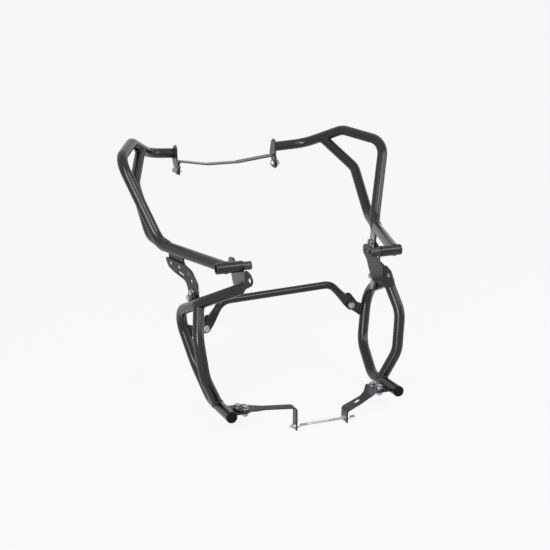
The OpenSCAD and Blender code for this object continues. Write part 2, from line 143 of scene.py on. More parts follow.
class ShaderSheet(NodeSheet):
    """The nodes of a material."""

    def __init__(self, name: str) -> None:
        """Starts an empty material with an output and a principled shader.

        Args:
            name: the material's name.
        """
        self.material = bpy.data.materials.new(name)
        self.material.use_nodes = True
        self.material.node_tree.nodes.clear()
        super().__init__(self.material.node_tree)
        self.output = self.add("ShaderNodeOutputMaterial")
        self.shader = self.add("ShaderNodeBsdfPrincipled")
        self.place = self.add("ShaderNodeTexCoord")
        self.join((self.shader, "BSDF", self.output, "Surface"))

    def noise(
        self, scale: float, detail: float = 3.0, stretch: Sequence[float] = (1, 1, 1)
    ) -> bpy.types.NodeSocket:
        """A noise on object coordinates.

        Args:
            scale: features per metre.
            detail: octaves of finer noise.
            stretch: scale along each axis.

        Returns:
            The socket with the noise's value.
        """
        mapping = self.add("ShaderNodeMapping", Scale=stretch)
        texture = self.add("ShaderNodeTexNoise", Scale=scale, Detail=detail)
        self.join((self.place, "Object", mapping, "Vector"), (mapping, "Vector", texture, "Vector"))
        return texture.outputs["Fac"]

    def spread(self, value: bpy.types.NodeSocket, low: float, high: float) -> bpy.types.NodeSocket:
        """Maps the middle range of a noise to two limits.

        Args:
            value: the noise.
            low: the result where the noise is low.
            high: the result where the noise is high.

        Returns:
            The socket with the mapped value.
        """
        node = self.add("ShaderNodeMapRange", From_Min=0.3, From_Max=0.7, To_Min=low, To_Max=high)
        self.link(value, node.inputs["Value"])
        return node.outputs["Result"]

    def blend_colours(
        self, value: bpy.types.NodeSocket, dark: Sequence[float], light: Sequence[float]
    ) -> bpy.types.NodeSocket:
        """Mixes two colours by a value.

        Args:
            value: the mixing value.
            dark: the colour at its low end.
            light: the colour at its high end.

        Returns:
            The socket with the colour.
        """
        ramp = self.add("ShaderNodeValToRGB")
        ramp.color_ramp.elements[0].position = 0.3
        ramp.color_ramp.elements[0].color = (*dark, 1)
        ramp.color_ramp.elements[1].position = 0.7
        ramp.color_ramp.elements[1].color = (*light, 1)
        self.link(value, ramp.inputs["Fac"])
        return ramp.outputs["Color"]

    def relief(self, heights: Sequence[tuple[bpy.types.NodeSocket, float, float]]) -> None:
        """Stacks bumps under the shader's normal.

        Args:
            heights: for each bump its height, its strength and its depth in metres.
        """
        last = None
        for value, strength, depth in heights:
            bump = self.add("ShaderNodeBump", Strength=strength, Distance=depth)
            self.link(value, bump.inputs["Height"])
            if last is not None:
                self.link(last.outputs["Normal"], bump.inputs["Normal"])
            last = bump
        if last is not None:
            self.link(last.outputs["Normal"], self.shader.inputs["Normal"])


@dataclass(frozen=True)
class PowderCoat:
    """Satin powder coat with a fine orange peel."""

    name: str
    dark: tuple[float, float, float]
    light: tuple[float, float, float]
    smooth: float = 0.2
    rough: float = 0.28

    def build(self) -> bpy.types.Material:
        """Makes the material."""
        sheet = ShaderSheet(self.name)
        tone = sheet.blend_colours(sheet.noise(14.0, 4.0), self.dark, self.light)
        sheet.link(tone, sheet.shader.inputs["Base Color"])
        sheen = sheet.spread(sheet.noise(55.0, 4.0), self.smooth, self.rough)
        sheet.link(sheen, sheet.shader.inputs["Roughness"])
        sheet.shader.inputs["Metallic"].default_value = 0.0
        sheet.shader.inputs["Specular IOR Level"].default_value = 0.42
        sheet.relief([(sheet.noise(700.0, 2.0), 0.09, 0.0002), (sheet.noise(3200.0, 1.0), 0.06, 0.00005)])
        return sheet.material


@dataclass(frozen=True)
class Plating:
    """Bright plated or drawn metal with a cloudy sheen and fine marks."""

    name: str
    dark: tuple[float, float, float]
    light: tuple[float, float, float]
    smooth: float
    rough: float
    metallic: float = 1.0
    stretch: tuple[float, float, float] = (1, 1, 1)

    def build(self) -> bpy.types.Material:
        """Makes the material."""
        sheet = ShaderSheet(self.name)
        tone = sheet.blend_colours(sheet.noise(120.0, 4.0), self.dark, self.light)
        sheet.link(tone, sheet.shader.inputs["Base Color"])
        sheen = sheet.spread(sheet.noise(260.0, 5.0, self.stretch), self.smooth, self.rough)
        sheet.link(sheen, sheet.shader.inputs["Roughness"])
        sheet.shader.inputs["Metallic"].default_value = self.metallic
        sheet.relief([(sheet.noise(1600.0, 3.0, self.stretch), 0.18, 0.00005)])
        return sheet.material


@dataclass(frozen=True)
class MouldedPlastic:
    """Black moulded plastic with a fine grain."""

    name: str
    dark: tuple[float, float, float]
    light: tuple[float, float, float]

    def build(self) -> bpy.types.Material:
        """Makes the material."""
        sheet = ShaderSheet(self.name)
        tone = sheet.blend_colours(sheet.noise(200.0, 2.0), self.dark, self.light)
        sheet.link(tone, sheet.shader.inputs["Base Color"])
        sheet.link(sheet.spread(sheet.noise(900.0, 2.0), 0.62, 0.78), sheet.shader.inputs["Roughness"])
        sheet.shader.inputs["Specular IOR Level"].default_value = 0.15
        sheet.relief([(sheet.noise(2400.0, 1.0), 0.3, 0.0001)])
        return sheet.material


class FinishBook:
    """The finish of each material slot, made once."""

    def __init__(self) -> None:
        """Makes all the materials."""
        finishes = {
            Slot.POWDER: PowderCoat("satin_black_powder", (0.005, 0.005, 0.0055), (0.0075, 0.0075, 0.008)),
            Slot.SPACER: Plating(
                "phosphated_steel", (0.035, 0.035, 0.037), (0.055, 0.053, 0.053), 0.3, 0.42, metallic=0.5
            ),
            Slot.ZINC: Plating("bright_zinc", (0.3, 0.31, 0.33), (0.48, 0.49, 0.5), 0.24, 0.4),
            Slot.ROD: Plating(
                "drawn_rod_steel", (0.36, 0.37, 0.39), (0.5, 0.5, 0.51), 0.24, 0.38, stretch=(0.08, 1, 1)
            ),
            Slot.PLUG: MouldedPlastic("black_moulded_plug", (0.002, 0.002, 0.002), (0.004, 0.004, 0.004)),
        }
        self.by_slot = {slot: finish.build() for slot, finish in finishes.items()}

    def of(self, slot: Slot) -> bpy.types.Material:
        """The material of a slot."""
        return self.by_slot[slot]


# Shapes


def unit(v: Sequence[float]) -> np.ndarray:
    """A vector of length one."""
    a = np.asarray(v, float)
    return a / np.linalg.norm(a)


@dataclass(frozen=True)
class Route:
    """The centreline of a bent tube: corner points and the bend radius at each."""

    corners: tuple[tuple[float, float, float], ...]
    radii: tuple[float, ...]

    def centreline(self, step: float = 3.0) -> np.ndarray:
        """Samples the route, straight runs joined by tangent bends.

        Args:
            step: degrees of bend between two points.

        Returns:
            The points, one a row, in millimetres.
        """
        p = np.array(self.corners, float)
        out = [p[0]]
        for i in range(1, len(p) - 1):
            a, b = unit(p[i] - p[i - 1]), unit(p[i + 1] - p[i])
            angle = math.acos(float(np.clip(a @ b, -1, 1)))
            n = unit(b - (a @ b) * a)
            centre = p[i] - a * self.radii[i] * math.tan(angle / 2) + n * self.radii[i]
            steps = max(2, math.ceil(math.degrees(angle) / step))
            for k in range(steps + 1):
                t = angle * k / steps
                out.append(centre + self.radii[i] * (a * math.sin(t) - n * math.cos(t)))
        out.append(p[-1])
        return np.array(out)


def gap_to_line(points: np.ndarray, line: np.ndarray) -> np.ndarray:
    """Distance from points to a polyline.

    Args:
        points: the points, one a row.
        line: the polyline's points.

    Returns:
        One distance for each point.
    """
    a, d = line[:-1], line[1:] - line[:-1]
    rel = points[:, None, :] - a[None]
    t = np.clip((rel * d).sum(2) / (d * d).sum(1), 0, 1)
    return np.linalg.norm(rel - t[..., None] * d, axis=2).min(1)


def slide(
    points: np.ndarray, way: np.ndarray, line: np.ndarray, radius: float, back: float, ahead: float
) -> tuple[np.ndarray, np.ndarray]:
    """Moves points along a direction until they meet a round tube.

    Args:
        points: the points, one a row.
        way: the direction of travel.
        line: the tube's centreline.
        radius: the distance from it at which a point stops.
        back: how far behind its place a point starts.
        ahead: how far it may travel beyond its place.

    Returns:
        The moved points, and for each whether it met the tube.
    """
    steps = np.arange(-back, ahead, 0.25)
    gaps = np.stack([gap_to_line(points + way * s, line) for s in steps], axis=1) - radius
    out, met = points.copy(), np.zeros(len(points), bool)
    for i, row in enumerate(gaps):
        inside = np.nonzero(row < 0)[0]
        if len(inside) and inside[0] > 0:
            k = inside[0]
            s = steps[k - 1] + 0.25 * row[k - 1] / (row[k - 1] - row[k])
            out[i], met[i] = points[i] + way * s, True
    return out, met


def in_metres(points: Sequence[Sequence[float]]) -> list[tuple[float, ...]]:
    """Points in millimetres as plain tuples in metres."""
    return [tuple(float(c) * MM for c in p) for p in points]


def mesh_from(name: str, points: np.ndarray, faces: Sequence[Sequence[int]]) -> bpy.types.Mesh:
    """Makes a mesh whose normals point outwards.

    Args:
        name: the mesh's name.
        points: its corners in millimetres.
        faces: the corners of each face.

    Returns:
        The mesh, in metres.
    """
    mesh = bpy.data.meshes.new(name)
    mesh.from_pydata(in_metres(points), [], [tuple(f) for f in faces])
    face_outwards(mesh)
    return mesh


def face_outwards(mesh: bpy.types.Mesh) -> None:
    """Turns every face of closed shells outwards."""
    bm = bmesh.new()
    bm.from_mesh(mesh)
    bmesh.ops.recalc_face_normals(bm, faces=bm.faces)
    bm.to_mesh(mesh)
    bm.free()


def smooth(mesh: bpy.types.Mesh, angle: float = TUBE_CREASE) -> None:
    """Shades a mesh smooth and keeps its sharp edges.

    Args:
        mesh: the mesh.
        angle: the angle in degrees from which an edge stays sharp.
    """
    mesh.shade_smooth()
    mesh.set_sharp_from_angle(angle=math.radians(angle))


def stacked(rings: Sequence[np.ndarray], looped: bool = False) -> tuple[np.ndarray, list[tuple[int, ...]]]:
    """Skins rings of equal length, one on the other.

    Args:
        rings: the rings' points.
        looped: whether the last ring joins the first, instead of a cap at each end.

    Returns:
        The points and the faces.
    """
    n, m = len(rings[0]), len(rings)
    faces: list[tuple[int, ...]] = []
    for i in range(m if looped else m - 1):
        j = (i + 1) % m
        for k in range(n):
            q = (k + 1) % n
            faces.append((i * n + k, i * n + q, j * n + q, j * n + k))
    if not looped:
        faces.append(tuple(range(n - 1, -1, -1)))
        faces.append(tuple((m - 1) * n + k for k in range(n)))
    return np.vstack(rings), faces


def ring_at(radius: float | np.ndarray, height: float | np.ndarray, turns: np.ndarray) -> np.ndarray:
    """A ring of points round Z.

    Args:
        radius: one radius, or one for each angle.
        height: one height, or one for each angle.
        turns: the angles in radians.

    Returns:
        The points.
    """
    r = np.broadcast_to(radius, turns.shape)
    return np.stack([r * np.cos(turns), r * np.sin(turns), np.broadcast_to(height, turns.shape)], axis=1)


# Geometry Nodes


class Recipe(NodeSheet):
    """A Geometry Nodes tree that is built in the script and then applied."""

    def __init__(self, name: str) -> None:
        """Starts a tree with a geometry input and output.

        Args:
            name: the tree's name.
        """
        super().__init__(bpy.data.node_groups.new(name, "GeometryNodeTree"))
        for way in ("INPUT", "OUTPUT"):
            self.tree.interface.new_socket("Geometry", in_out=way, socket_type="NodeSocketGeometry")
        self.sockets: dict[str, str] = {}
        self.source = self.add("NodeGroupInput")
        self.sink = self.add("NodeGroupOutput")

    def ask(self, name: str, kind: str) -> bpy.types.NodeSocket:
        """Adds a named input.

        Args:
            name: the input's name.
            kind: the socket's type.

        Returns:
            The socket inside the tree.
        """
        socket = self.tree.interface.new_socket(name, in_out="INPUT", socket_type=kind)
        self.sockets[name] = socket.identifier
        return self.source.outputs[name]

    def finish(self, geometry: bpy.types.NodeSocket) -> None:
        """Ends the tree in realised instances and a set material.

        Args:
            geometry: the finished geometry.
        """
        material = self.ask("Material", "NodeSocketMaterial")
        real = self.add("GeometryNodeRealizeInstances")
        dress = self.add("GeometryNodeSetMaterial")
        self.link(geometry, real.inputs["Geometry"])
        self.link(material, dress.inputs["Material"])
        self.join((real, "Geometry", dress, "Geometry"), (dress, "Geometry", self.sink, "Geometry"))

    def cook(self, seed_mesh: bpy.types.Mesh, name: str, **values: object) -> bpy.types.Mesh:
        """Runs the tree on a mesh and returns the result as a plain mesh.

        Args:
            seed_mesh: the mesh that goes in.
            name: the name of the result.
            values: the tree's inputs by name, with spaces written as underscores.

        Returns:
            The finished mesh.
        """
        obj = bpy.data.objects.new(name + "_seed", seed_mesh)
        bpy.context.scene.collection.objects.link(obj)
        modifier = obj.modifiers.new("recipe", "NODES")
        modifier.node_group = self.tree
        for key, value in values.items():
            modifier[self.sockets[key.replace("_", " ")]] = value
        graph = bpy.context.evaluated_depsgraph_get()
        mesh = bpy.data.meshes.new_from_object(obj.evaluated_get(graph), depsgraph=graph)
        mesh.name = name
        obj.modifiers.remove(modifier)
        bpy.data.objects.remove(obj)
        return mesh


def line_mesh(points: np.ndarray, closed: bool) -> bpy.types.Mesh:
    """A mesh of edges along a line, for a tree to sweep.

    Args:
        points: the line's points in millimetres.
        closed: whether its end joins its start.

    Returns:
        The mesh, in metres.
    """
    n = len(points)
    edges = [(i, (i + 1) % n) for i in range(n if closed else n - 1)]
    mesh = bpy.data.meshes.new("line")
    mesh.from_pydata(in_metres(points), edges, [])
    return mesh


def tube_recipe() -> Recipe:
    """Sweeps a ring along a line, for one wall of a bent tube.

    Returns:
        The tree, with the inputs Radius and Sides.
    """
    recipe = Recipe("bent_tube_wall")
    radius = recipe.ask("Radius", "NodeSocketFloat")
    sides = recipe.ask("Sides", "NodeSocketInt")
    curve = recipe.add("GeometryNodeMeshToCurve")
    profile = recipe.add("GeometryNodeCurvePrimitiveCircle")
    sweep = recipe.add("GeometryNodeCurveToMesh")
    recipe.link(radius, profile.inputs["Radius"])
    recipe.link(sides, profile.inputs["Resolution"])
    recipe.join(
        (recipe.source, "Geometry", curve, "Mesh"), (curve, "Curve", sweep, "Curve"),
        (profile, "Curve", sweep, "Profile Curve"),
    )
    recipe.finish(sweep.outputs["Mesh"])
    return recipe


def bead_recipe() -> Recipe:
    """Runs a rippled weld bead along a line.

    Returns:
        The tree, with the inputs Bead, Pitch and Ripple.
    """
    recipe = Recipe("weld_bead")
    bead = recipe.ask("Bead", "NodeSocketFloat")
    pitch = recipe.ask("Pitch", "NodeSocketFloat")
    ripple = recipe.ask("Ripple", "NodeSocketFloat")
    curve = recipe.add("GeometryNodeMeshToCurve")
    even = recipe.add("GeometryNodeResampleCurve", {"mode": "LENGTH"}, Length=0.00035)
    along = recipe.add("GeometryNodeSplineParameter")
    drift = recipe.add("ShaderNodeTexNoise", Scale=160.0, Detail=1.0)
    wander = recipe.add("ShaderNodeMapRange", To_Min=0.9, To_Max=1.12)
    swell = recipe.add("GeometryNodeSetCurveRadius")
    profile = recipe.add("GeometryNodeCurvePrimitiveCircle", Resolution=10)
    sweep = recipe.add("GeometryNodeCurveToMesh")
    sweep.inputs["Fill Caps"].default_value = True
    shade = recipe.add("GeometryNodeSetShadeSmooth")
    share = recipe.math("DIVIDE", along.outputs["Length"], pitch)
    hump = recipe.math("ABSOLUTE", recipe.math("SINE", recipe.math("MULTIPLY", share, math.pi)))
    rise = recipe.math("MULTIPLY_ADD", hump, ripple, 1.0)
    recipe.link(recipe.math("MULTIPLY", rise, wander.outputs["Result"]), swell.inputs["Radius"])
    recipe.link(bead, profile.inputs["Radius"])
    recipe.join(
        (recipe.source, "Geometry", curve, "Mesh"), (curve, "Curve", even, "Curve"),
        (drift, "Fac", wander, "Value"), (even, "Curve", swell, "Curve"), (swell, "Curve", sweep, "Curve"),
        (profile, "Curve", sweep, "Profile Curve"), (sweep, "Mesh", shade, "Geometry"),
    )
    if "Scale" in sweep.inputs:
        recipe.join((recipe.add("GeometryNodeInputRadius"), "Radius", sweep, "Scale"))
    recipe.finish(shade.outputs["Geometry"])
    return recipe


def fastener_recipe() -> Recipe:
    """Stands one fastener on each point, along the point's own direction.

    Returns:
        The tree, with the inputs Fastener and Seed.
    """
    recipe = Recipe("fastener_places")
    fastener = recipe.ask("Fastener", "NodeSocketObject")
    seed = recipe.ask("Seed", "NodeSocketInt")
    points = recipe.add("GeometryNodeMeshToPoints")
    info = recipe.add("GeometryNodeObjectInfo")
    way = recipe.add("GeometryNodeInputNamedAttribute", {"data_type": "FLOAT_VECTOR"}, Name="way")
    stand = recipe.add("FunctionNodeAlignRotationToVector", {"axis": "Z"})
    spin = recipe.add("FunctionNodeRandomValue", {"data_type": "FLOAT"})
    spin.inputs[3].default_value = 2 * math.pi
    turn = recipe.add("ShaderNodeCombineXYZ")
    twist = recipe.add("FunctionNodeEulerToRotation")
    pose = recipe.add("FunctionNodeRotateRotation", {"rotation_space": "LOCAL"})
    copies = recipe.add("GeometryNodeInstanceOnPoints")
    recipe.link(fastener, info.inputs["Object"])
    recipe.link(seed, spin.inputs["Seed"])
    recipe.join(
        (recipe.source, "Geometry", points, "Mesh"), (way, "Attribute", stand, "Vector"),
        (spin, 1, turn, "Z"), (turn, "Vector", twist, "Euler"), (stand, "Rotation", pose, "Rotation"),
        (twist, "Rotation", pose, "Rotate By"), (points, "Points", copies, "Points"),
        (info, "Geometry", copies, "Instance"), (pose, "Rotation", copies, "Rotation"),
    )
    recipe.finish(copies.outputs["Instances"])
    return recipe


# The workshop: what every sub-assembly uses to finish a piece


class Workshop:
    """Finishes pieces: gives them a place on the model, a slot and a material."""

    def __init__(self) -> None:
        """Makes the finishes and the trees."""
        self.finishes = FinishBook()
        self.tube_tree = tube_recipe()
        self.bead_tree = bead_recipe()
        self.place_tree = fastener_recipe()
        self.made = 0

    def hand_in(self, mesh: bpy.types.Mesh, name: str, slot: Slot, *nodes: str) -> bpy.types.Object:
        """Makes a finished piece of a mesh.

        Args:
            mesh: the mesh, in its place.
            name: the piece's name.
            slot: the slot of its finish.
            nodes: the CAD nodes that it stands for.

        Returns:
            The piece.
        """
        obj = bpy.data.objects.new(name, mesh)
        bpy.context.scene.collection.objects.link(obj)
        mesh.materials.clear()
        mesh.materials.append(self.finishes.of(slot))
        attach(obj, "root")
        if nodes:
            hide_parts(*nodes)
        self.made += 1
        LOG.info("%s: %d faces, %s", name, len(mesh.polygons), slot.value)
        return obj

    def dress(self, node: str, slot: Slot) -> None:
        """Gives a CAD node its material.

        Args:
            node: the node's name.
            slot: the slot of its finish.
        """
        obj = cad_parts[node]
        obj.data.materials.clear()
        obj.data.materials.append(self.finishes.of(slot))
        LOG.info("%s: carried over, %s", node, slot.value)

    def eased(self, node: str, slot: Slot, ease: float = 0.35) -> bpy.types.Object:
        """Copies a CAD node, rounds its sharp edges as a coating does, and shows the copy.

        Args:
            node: the node's name.
            slot: the slot of its finish.
            ease: the width of the rounding in millimetres.

        Returns:
            The piece.
        """
        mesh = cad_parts[node].data.copy()
        bm = bmesh.new()
        bm.from_mesh(mesh)
        bmesh.ops.remove_doubles(bm, verts=bm.verts, dist=MERGE_DISTANCE)
        bmesh.ops.dissolve_limit(bm, angle_limit=FLAT_ANGLE, verts=bm.verts, edges=bm.edges)
        sharp = [e for e in bm.edges if len(e.link_faces) == 2 and e.calc_face_angle(0.0) > EDGE_ANGLE]
        bmesh.ops.bevel(
            bm, geom=sharp, offset=ease * MM, offset_type="OFFSET", segments=2, profile=0.5,
            affect="EDGES", clamp_overlap=False,
        )
        bm.to_mesh(mesh)
        bm.free()
        mesh.shade_smooth()
        obj = bpy.data.objects.new("eased", mesh)
        bpy.context.scene.collection.objects.link(obj)
        even = obj.modifiers.new("even", "WEIGHTED_NORMAL")
        even.keep_sharp = True
        graph = bpy.context.evaluated_depsgraph_get()
        done = bpy.data.meshes.new_from_object(obj.evaluated_get(graph), depsgraph=graph)
        bpy.data.objects.remove(obj)
        return self.hand_in(done, node + "_eased", slot, node)


# Measures that the CAD source gives, in millimetres

TUBE_R, BORE_R, WELD_GAP, SLEEVE_R = 12.5, 10.5, 0.1, 12.0
FLANGE_T, TAB_T, STAY_T, BRACKET_T, PADDLE_T = 4.0, 5.0, 4.0, 3.0, 5.0
FLANGE_X = {Side.RIGHT: 131.0, Side.LEFT: 142.0}
LINK_FACE_X = 163.0
UPPER = Route(
    ((118, 587, 137.5), (213, 565, 147), (278, 468, 193), (336, 344, 178), (270, 253, -7), (196, 0, 0)),
    (0, 75, 55, 55, 55, 0),
)
BRACE = Route(((243, 521, 168), (288, 411, 104), (280, 305, 3), (262, 226, -6)), (0, 55, 55, 0))
LOWER = Route(
    ((149.5, -11.7, -41.2), (230, 86, -101), (242.5, 226, -162), (213, 186.5, -283), (202.5, 105, -337.5),
     (200.5, -34, -326)),
    (0, 55, 55, 75, 55, 0),
)
REAR = Route(((231, 92, -103.5), (245, 55, -169), (235, 44, -260), (202, 58, -333)), (0, 75, 75, 0))
SLEEVE_AXIS = np.array([[100.0, 0, 0], [320.0, 0, 0]])
STAY_RUN, STAY_DOWN = unit([-0.2807, -0.9598, 0]), unit([-0.073, 0.021, -0.997])
STAY_OUT = np.cross(STAY_RUN, STAY_DOWN)
STAY_ORIGIN = np.array([252, 223, -43.5])
STAY_HOLES = ((0, 0), (35, 1.5), (80, 50), (70, 65))
STRAP_BOLT = (565.0, 99.0)
CROSS_BOLT = {Side.RIGHT: (190.0, 208.0, -193.0), Side.LEFT: (180.0, 208.0, -206.0)}
CROSS_RISE = {Side.RIGHT: 17.0, Side.LEFT: -2.0}
BOTTOM_Z = -326.0
BOTTOM_BOLTS = {Side.RIGHT: ((166, -7), (157, 13)), Side.LEFT: ((160, -7), (173, 7))}
ROD_Y, ROD_Z, ROD_ENDS, ROD_THREADS = -56.0, -359.0, (-74.5, 81.0), (42.0, 52.0)
LEG_X = {Side.RIGHT: 59.0, Side.LEFT: 60.5}


def mirrored(points: np.ndarray, side: Side) -> np.ndarray:
    """Puts right-hand points on a side."""
    return points * np.array([side.value, 1, 1])


class End(Enum):
    """How a tube ends."""

    COPED = "coped on its neighbour"
    FLAT_X = "cut square to X"
    OPEN = "cut square to the tube"


@dataclass(frozen=True)
class TubeEnd:
    """One end of a tube and what it meets."""

    kind: End
    host: np.ndarray | None = None
    host_r: float = 0.0
    at_x: float = 0.0


@dataclass
class BentTube:
    """A steel tube bent in several planes, with its ends cut to their neighbours."""

    name: str
    side: Side
    route: Route
    start: TubeEnd
    finish: TubeEnd
    sides: int = 48
    cope_back: float = 45.0
    cope_ahead: float = 25.0
    rim_reach: float = 60.0

    def cut(self, ring: np.ndarray, way: np.ndarray, end: TubeEnd) -> np.ndarray:
        """Moves the last ring of a wall to the cut.

        Args:
            ring: the ring's points.
            way: the direction out of the tube's end.
            end: the cut.

        Returns:
            The ring's new points.
        """
        if end.kind is End.FLAT_X:
            return ring + way * ((end.at_x - ring[:, :1]) / way[0])
        if end.kind is End.COPED:
            return slide(ring, way, end.host, end.host_r + WELD_GAP, self.cope_back, self.cope_ahead)[0]
        return ring

    def build(self, shop: Workshop) -> dict[str, np.ndarray]:
        """Makes the tube and hands it in.

        Args:
            shop: the workshop.

        Returns:
            The outer ring of each end, "start" and "finish", for its weld.
        """
        line = self.route.centreline()
        ends = {
            "start": (line[0], unit(line[0] - line[1]), self.start),
            "finish": (line[-1], unit(line[-1] - line[-2]), self.finish),
        }
        bm = bmesh.new()
        seams: dict[str, np.ndarray] = {}
        for radius in (TUBE_R, BORE_R):
            wall = shop.tube_tree.cook(
                line_mesh(line, False), self.name, Radius=radius * MM, Sides=self.sides,
                Material=shop.finishes.of(Slot.POWDER),
            )
            co = np.empty(len(wall.vertices) * 3)
            wall.vertices.foreach_get("co", co)
            co = co.reshape(-1, 3) / MM
            for word, (at, way, end) in ends.items():
                rel = co - at
                pick = np.nonzero((np.abs(rel @ way) < 0.05) & (np.linalg.norm(rel, axis=1) < radius + 1))[0]
                co[pick] = self.cut(co[pick], way, end)
                if radius == TUBE_R:
                    seams[word] = ordered_ring(co[pick], at, way)
            wall.vertices.foreach_set("co", (co * MM).ravel())
            bm.from_mesh(wall)
        for at, way, _ in ends.values():
            rims = [
                e for e in bm.edges
                if e.is_boundary and ((np.array(e.verts[0].co) / MM - at) @ way) > -self.rim_reach
                and np.linalg.norm(np.array(e.verts[0].co) / MM - at) < self.rim_reach
            ]
            bmesh.ops.bridge_loops(bm, edges=rims)
        bmesh.ops.recalc_face_normals(bm, faces=bm.faces)
        if self.side is Side.LEFT:
            bmesh.ops.scale(bm, vec=(-1, 1, 1), verts=bm.verts)
            bmesh.ops.reverse_faces(bm, faces=bm.faces)
        mesh = bpy.data.meshes.new(self.name)
        bm.to_mesh(mesh)
        bm.free()
        smooth(mesh)
        node = f"{self.name}_{self.side.word}"
        shop.hand_in(mesh, node + "_bent", Slot.POWDER, node)
        return {word: mirrored(ring, self.side) for word, ring in seams.items()}


def ordered_ring(points: np.ndarray, at: np.ndarray, way: np.ndarray) -> np.ndarray:
    """Sorts the points of a ring by their angle.

    Args:
        points: the ring's points.
        at: a point on its axis.
        way: the axis.

    Returns:
        The sorted points.
    """
    u = unit(np.cross(way, [0.3, 0.1, 0.9]))
    v = np.cross(way, u)
    rel = points - at
    return points[np.argsort(np.arctan2(rel @ v, rel @ u))]


@dataclass(frozen=True)
class WeldSeam:
    """A weld bead along a line."""

    name: str
    line: np.ndarray
    closed: bool
    bead: float
    pitch: float = 1.7
    ripple: float = 0.16

    def build(self, shop: Workshop) -> bpy.types.Mesh:
        """Makes the bead.

        Args:
            shop: the workshop.

        Returns:
            The bead's mesh.
        """
        return shop.bead_tree.cook(
            line_mesh(self.line, self.closed), self.name, Bead=self.bead * MM, Pitch=self.pitch * MM,
            Ripple=self.ripple, Material=shop.finishes.of(Slot.POWDER),
        )


def joined(meshes: Sequence[bpy.types.Mesh], name: str) -> bpy.types.Mesh:
    """Puts several meshes in one.

    Args:
        meshes: the meshes.
        name: the new mesh's name.

    Returns:
        The new mesh.
    """
    bm = bmesh.new()
    for mesh in meshes:
        bm.from_mesh(mesh)
    whole = bpy.data.meshes.new(name)
    bmesh.ops.recalc_face_normals(bm, faces=bm.faces)
    bm.to_mesh(whole)
    bm.free()
    return whole


def inside(outline: np.ndarray, point: np.ndarray) -> bool:
    """Whether a point lies in a polygon.

    Args:
        outline: the polygon's corners.
        point: the point.

    Returns:
        True if it does.
    """
    found = False
    for a, b in zip(outline, np.roll(outline, -1, axis=0)):
        if (a[1] > point[1]) != (b[1] > point[1]):
            if point[0] < a[0] + (b[0] - a[0]) * (point[1] - a[1]) / (b[1] - a[1]):
                found = not found
    return found


@dataclass(frozen=True)
class TabSeam:
    """The two short fillets where a flat tab meets a round tube, one on each face."""

    name: str
    outline: tuple[tuple[float, float], ...]
    origin: np.ndarray
    across: np.ndarray
    towards: np.ndarray
    out: np.ndarray
    faces: tuple[float, float]
    begin: float
    host: Route
    bead: float = 1.5

    def seams(self, side: Side) -> list[WeldSeam]:
        """Finds both lines.

        Args:
            side: the side of the motorcycle.

        Returns:
            The seams.
        """
        outline = np.array(self.outline, float)
        spread = np.linspace(outline[:, 0].min() + 0.5, outline[:, 0].max() - 0.5, 70)
        host = self.host.centreline()
        found: list[WeldSeam] = []
        for k, face in enumerate(self.faces):
            starts = np.array([
                self.origin + self.across * u + self.towards * self.begin + self.out * face for u in spread
            ])
            ends, met = slide(starts, self.towards, host, TUBE_R, 0.0, 70.0)
            keep = [
                p for p, u, ok in zip(ends, spread, met)
                if ok and inside(outline, np.array([u, (p - self.origin) @ self.towards]))
            ]
            if len(keep) > 3:
                line = mirrored(np.array(keep), side)
                found.append(WeldSeam(f"{self.name}_{k}", line, False, self.bead))
        LOG.info("%s %s: %d fillets", self.name, side.word, len(found))
        return found


def tab_seams(side: Side) -> list[WeldSeam]:
    """All the fillets of one side's tabs.

    Args:
        side: the side of the motorcycle.

    Returns:
        The seams.
    """
    x, y, z = CROSS_BOLT[side]
    rise = CROSS_RISE[side]
    tabs = [
        TabSeam("upper_tab_weld", ((-14, 40), (46, 38), (46, -11), (-13, -9)), STAY_ORIGIN, STAY_RUN,
                -STAY_DOWN, STAY_OUT, (0.0, -TAB_T), 12.0, UPPER),
        TabSeam("lower_stay_tab_weld", ((56, 56), (74, 38), (92, 42), (100, 74), (84, 96), (52, 100)),
                STAY_ORIGIN, STAY_RUN, STAY_DOWN, STAY_OUT, (0.0, -TAB_T), 72.0, LOWER),
        TabSeam("cross_tab_weld",
                ((z + 29, x - 14), (z + 32, x - 2), (z + 5, x + 19), (z + 13 - rise, 228),
                 (z - 22 - rise, 228), (z - 14, x + 4), (z - 4, x - 12)),
                np.zeros(3), np.array([0, 0, 1.0]), np.array([1.0, 0, 0]), np.array([0, 1.0, 0]),
                (y + 2.5, y + 7.5), x + 6, LOWER),
        TabSeam("bottom_tab_weld", ((14, 145), (25, 150), (30, 198), (-18, 198), (-19, 160), (-12, 147)),
                np.zeros(3), np.array([0, 1.0, 0]), np.array([1.0, 0, 0]), np.array([0, 0, 1.0]),
                (BOTTOM_Z - TAB_T, BOTTOM_Z), 160.0, LOWER),
    ]
    return [seam for tab in tabs for seam in tab.seams(side)]


